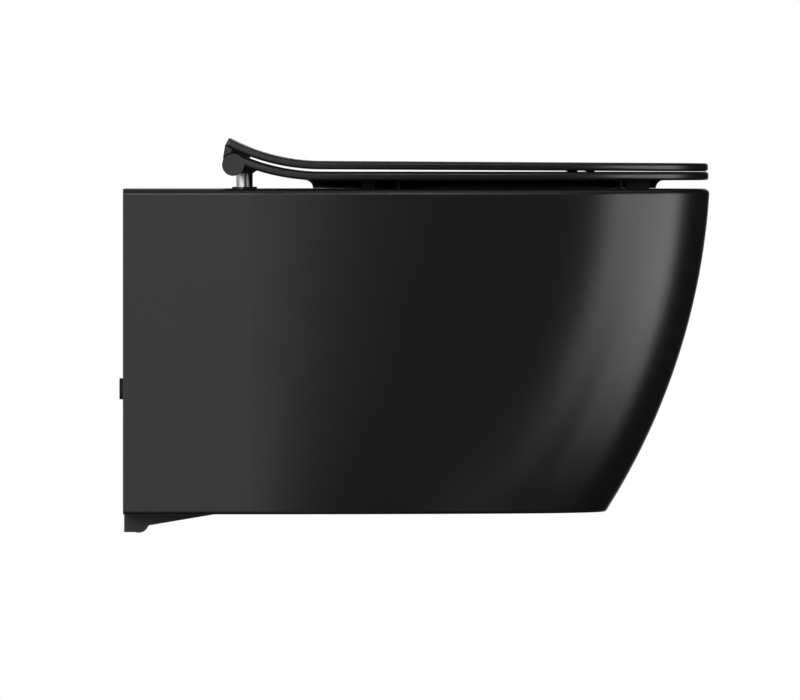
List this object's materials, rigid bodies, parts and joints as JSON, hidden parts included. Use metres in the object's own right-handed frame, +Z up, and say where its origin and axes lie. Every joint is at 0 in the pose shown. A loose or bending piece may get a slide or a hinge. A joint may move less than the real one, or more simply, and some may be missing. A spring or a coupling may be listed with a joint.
{
  "type": "wall hung toilet",
  "caption": "Wall hung toilet: matte black D-shaped pan with a swept front, slim seat ring and lid on a top hinge, concealed wall fixings, rear outlet.",
  "frame": {"origin": "midway between the two wall fixing holes, on the plane of the pan's back face; the rim is 80 mm above it", "axes": "+X away from the wall towards the front, +Y to the left of a person facing the wall, +Z up"},
  "size_m": [0.5332, 0.36, 0.3568],
  "materials": {
    "pan_glaze": "satin matte black glaze on vitreous china",
    "seat_duroplast": "satin black duroplast",
    "black_rubber": "matte black rubber",
    "nylon_white": "natural nylon",
    "nylon_black": "black nylon",
    "stainless": "turned stainless steel",
    "zinc_black": "black coated zinc",
    "damper_grey": "grey damper housing"
  },
  "bodies": {
    "pan": {"pan_body": "pan_glaze", "flush_diffuser": "nylon_black", "wall_pads": "black_rubber", "stud_sleeves": "nylon_white", "sleeve_lock_screws": "stainless", "seat_anchors": "nylon_white", "anchor_nuts": "stainless", "post_washers": "black_rubber", "hinge_post_left": "stainless", "hinge_post_right": "stainless", "hinge_block_left": "zinc_black", "hinge_block_right": "zinc_black", "hinge_pin_left": "stainless", "hinge_pin_right": "stainless"},
    "ring": {"seat_ring": "seat_duroplast", "ring_damper": "damper_grey", "ring_bush": "nylon_white", "ring_buffers_front": "black_rubber", "ring_buffers_rear": "black_rubber", "ring_pegs_front": "black_rubber", "ring_pegs_rear": "black_rubber"},
    "lid": {"lid_shell": "seat_duroplast", "lid_damper": "damper_grey", "lid_bush": "nylon_white", "lid_buffers_front": "black_rubber", "lid_buffers_rear": "black_rubber"}
  },
  "joints": [
    {"name": "seat_hinge", "type": "hinge", "parent": "pan", "child": "ring", "pos_m": [0.0992, 0, 0.1017], "axis": [0, -1, 0], "range_deg": [0, 95]},
    {"name": "lid_hinge", "type": "hinge", "parent": "pan", "child": "lid", "pos_m": [0.0992, 0, 0.1017], "axis": [0, -1, 0], "range_deg": [0, 100]}
  ],
  "couplings": [
    {"joint": "lid_hinge", "follows": "seat_hinge", "ratio": 1.05}
  ]
}
